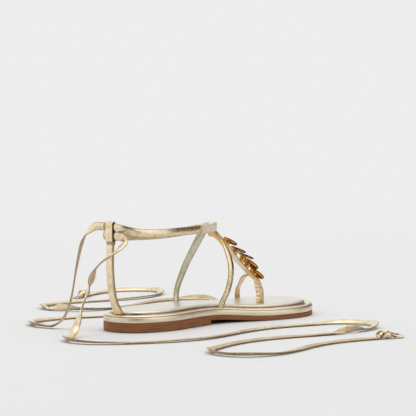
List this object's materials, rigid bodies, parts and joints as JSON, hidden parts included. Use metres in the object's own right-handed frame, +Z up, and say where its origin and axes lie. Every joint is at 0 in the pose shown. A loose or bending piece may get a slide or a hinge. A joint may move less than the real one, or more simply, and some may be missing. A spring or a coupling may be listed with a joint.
{
  "type": "t-strap sandal",
  "caption": "Flat T-strap sandal in gold metallic leather with metal discs down the T-strap and one long lace through a heel loop and ankle sleeve, its ends laid on the floor.",
  "frame": {"origin": "on the floor, under the middle of the sandal's own box, without the lace's free ends and their knots", "axes": "+Z up, -Y to the toe and +Y to the heel along the sole, -X to the medial (big toe) side and +X to the lateral side"},
  "size_m": [0.4744, 0.3479, 0.1019],
  "materials": {
    "sole_edge": "waxed brown stacked edge",
    "gold_leather": "crinkled metallic gold",
    "gold_insole": "smooth glossy pale gold",
    "gold_metal": "polished"
  },
  "bodies": {
    "root": {"outsole": "sole_edge", "heel_lift": "sole_edge", "platform": "gold_leather", "footbed": "gold_insole", "upper": "gold_leather", "heel_strap": "gold_leather", "ankle_tie": "gold_leather", "disc_1": "gold_metal", "disc_2": "gold_metal", "disc_3": "gold_metal", "disc_4": "gold_metal", "disc_5": "gold_metal", "tie_medial": "gold_leather", "tie_lateral": "gold_leather", "tie_knot_medial": "gold_leather", "tie_knot_lateral": "gold_leather"}
  },
  "joints": []
}
